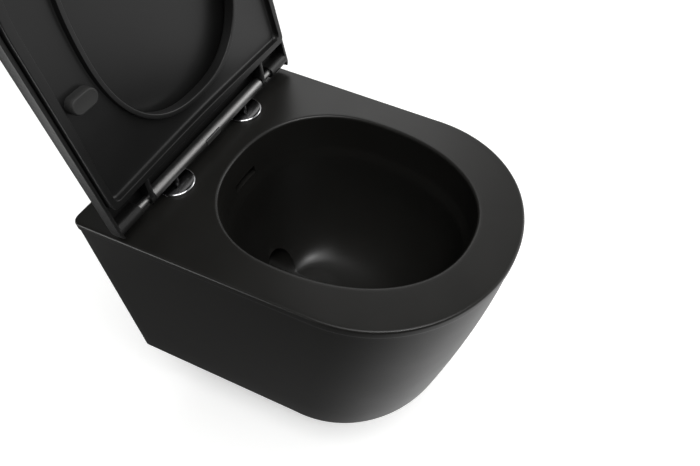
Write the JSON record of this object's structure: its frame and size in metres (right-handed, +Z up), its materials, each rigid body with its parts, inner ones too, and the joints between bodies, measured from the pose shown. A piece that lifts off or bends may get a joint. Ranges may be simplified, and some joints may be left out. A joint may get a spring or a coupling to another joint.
{
  "type": "wall-hung toilet",
  "caption": "Wall-hung D-shaped toilet pan with a lift-off soft-close seat ring and wrap-over cover on a steel hinge bar, wall fixings and pipe connectors.",
  "frame": {"origin": "on the wall plane, midway between the two wall fixing holes", "axes": "+X to the right seen from the front, +Y into the wall, +Z up; the pan points along -Y"},
  "size_m": [0.374, 0.5348, 0.7524],
  "materials": {
    "glaze": "satin black glaze",
    "seat_plastic": "satin black moulded thermoset",
    "satin_steel": "satin, dark tint",
    "chrome": "polished",
    "plated_steel": "zinc plated",
    "grey_plastic": "moulded",
    "rubber": "matt"
  },
  "bodies": {
    "pan": {"pan_body": "glaze", "flush_connector": "grey_plastic", "inlet_seal": "rubber", "waste_connector": "grey_plastic", "waste_seal": "rubber", "left_fixing_sleeve": "grey_plastic", "left_fixing_washer": "plated_steel", "left_fixing_nut": "plated_steel", "left_fixing_stud": "plated_steel", "left_rosette": "chrome", "left_hinge_post": "satin_steel", "left_seat_bolt": "plated_steel", "left_cone_washer": "rubber", "right_fixing_sleeve": "grey_plastic", "right_fixing_washer": "plated_steel", "right_fixing_nut": "plated_steel", "right_fixing_stud": "plated_steel", "right_rosette": "chrome", "right_hinge_post": "satin_steel", "right_seat_bolt": "plated_steel", "right_cone_washer": "rubber"},
    "hinge_unit": {"hinge_bar": "satin_steel", "left_damper": "grey_plastic", "right_damper": "grey_plastic", "button_spring": "plated_steel"},
    "release_button": {"release_button": "satin_steel"},
    "left_latch": {"left_latch_pin": "plated_steel"},
    "right_latch": {"right_latch_pin": "plated_steel"},
    "cover": {"cover": "seat_plastic", "right_hinge_shaft": "satin_steel", "left_cover_buffer": "rubber", "right_cover_buffer": "rubber"},
    "seat": {"seat_ring": "seat_plastic", "left_hinge_shaft": "satin_steel", "left_side_buffer": "rubber", "right_side_buffer": "rubber", "left_front_buffer": "rubber", "right_front_buffer": "rubber"},
    "left_wing_nut": {"left_wing_nut": "grey_plastic"},
    "right_wing_nut": {"right_wing_nut": "grey_plastic"}
  },
  "joints": [
    {"name": "cover_hinge", "type": "hinge", "parent": "hinge_unit", "child": "cover", "pos_m": [0, -0.079, 0.1], "axis": [-1, 0, 0], "range_deg": [-97.3, 0]},
    {"name": "seat_hinge", "type": "hinge", "parent": "cover", "child": "seat", "pos_m": [0, -0.079, 0.1], "axis": [1, 0, 0], "range_deg": [0, 97.3]},
    {"name": "lift_off", "type": "slide", "parent": "pan", "child": "hinge_unit", "axis": [0, 0, 1], "range_m": [0, 0.05]},
    {"name": "release_press", "type": "slide", "parent": "hinge_unit", "child": "release_button", "axis": [0, 1, 0], "range_m": [0, 0.0025], "stiffness_N_per_m": 400, "springref_m": -0.002},
    {"name": "left_latch_slide", "type": "slide", "parent": "hinge_unit", "child": "left_latch", "axis": [1, 0, 0], "range_m": [0, 0.0025]},
    {"name": "right_latch_slide", "type": "slide", "parent": "hinge_unit", "child": "right_latch", "axis": [-1, 0, 0], "range_m": [0, 0.0025]},
    {"name": "left_wing_nut_turn", "type": "hinge", "parent": "pan", "child": "left_wing_nut", "pos_m": [-0.0775, -0.079, 0.05], "axis": [0, 0, 1], "continuous": true},
    {"name": "right_wing_nut_turn", "type": "hinge", "parent": "pan", "child": "right_wing_nut", "pos_m": [0.0775, -0.079, 0.05], "axis": [0, 0, 1], "continuous": true}
  ],
  "couplings": [
    {"joint": "left_latch_slide", "follows": "release_press", "ratio": 1},
    {"joint": "right_latch_slide", "follows": "release_press", "ratio": 1}
  ]
}
